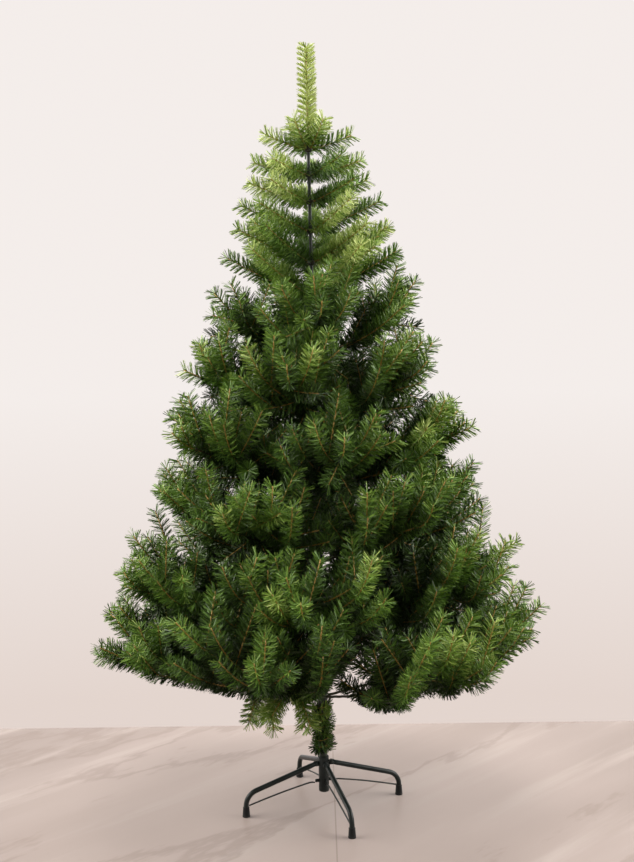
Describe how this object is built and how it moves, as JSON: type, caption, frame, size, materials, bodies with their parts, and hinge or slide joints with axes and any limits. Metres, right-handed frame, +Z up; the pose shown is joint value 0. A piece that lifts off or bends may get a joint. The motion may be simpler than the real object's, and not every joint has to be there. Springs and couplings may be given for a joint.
{
  "type": "artificial christmas tree",
  "caption": "Undecorated artificial conifer: tapering crown of needle-covered wire twigs in tiers on a slender pole, with an upright tip, on a folding four-leg steel stand.",
  "frame": {"origin": "on the floor at the middle of the four feet", "axes": "+Z up along the pole, -Y the side seen from the front, +X to that side's right"},
  "size_m": [1.0758, 1.0952, 1.7999],
  "materials": {
    "stand_paint": "semi-gloss dark green-grey paint on steel tube",
    "foot_rubber": "satin black moulded rubber",
    "pole_paint": "satin dark green paint on steel tube",
    "wire": "satin dark coated wire",
    "needles": "thin cut plastic needles in several greens on twisted wire"
  },
  "bodies": {
    "root": {"hub": "stand_paint", "thumb_screw": "wire", "leg_1": "stand_paint", "leg_2": "stand_paint", "leg_3": "stand_paint", "leg_4": "stand_paint", "foot_1": "foot_rubber", "foot_2": "foot_rubber", "foot_3": "foot_rubber", "foot_4": "foot_rubber", "brace_1": "wire", "brace_2": "wire", "brace_3": "wire", "brace_4": "wire", "pole_lower": "pole_paint", "pole_middle": "pole_paint", "pole_upper": "pole_paint", "garland": "needles", "leader": "needles", "whorl_1": "needles", "whorl_2": "needles", "whorl_3": "needles", "whorl_4": "needles", "whorl_5": "needles", "bough_1_1": "wire", "bough_1_2": "wire", "bough_1_3": "wire", "bough_1_4": "wire", "bough_1_5": "wire", "bough_1_6": "wire", "mass_1_1": "needles", "mass_1_2": "needles", "mass_1_3": "needles", "mass_1_4": "needles", "mass_1_5": "needles", "mass_1_6": "needles", "mass_2_1": "needles", "mass_2_2": "needles", "mass_2_3": "needles", "mass_2_4": "needles", "mass_2_5": "needles", "mass_3_1": "needles", "mass_3_2": "needles", "mass_3_3": "needles", "mass_3_4": "needles", "mass_3_5": "needles", "mass_4_1": "needles", "mass_4_2": "needles", "mass_4_3": "needles", "mass_4_4": "needles", "mass_4_5": "needles", "mass_5_1": "needles", "mass_5_2": "needles", "mass_5_3": "needles", "mass_5_4": "needles", "mass_5_5": "needles", "mass_6_1": "needles", "mass_6_2": "needles", "mass_6_3": "needles", "mass_6_4": "needles"}
  },
  "joints": []
}
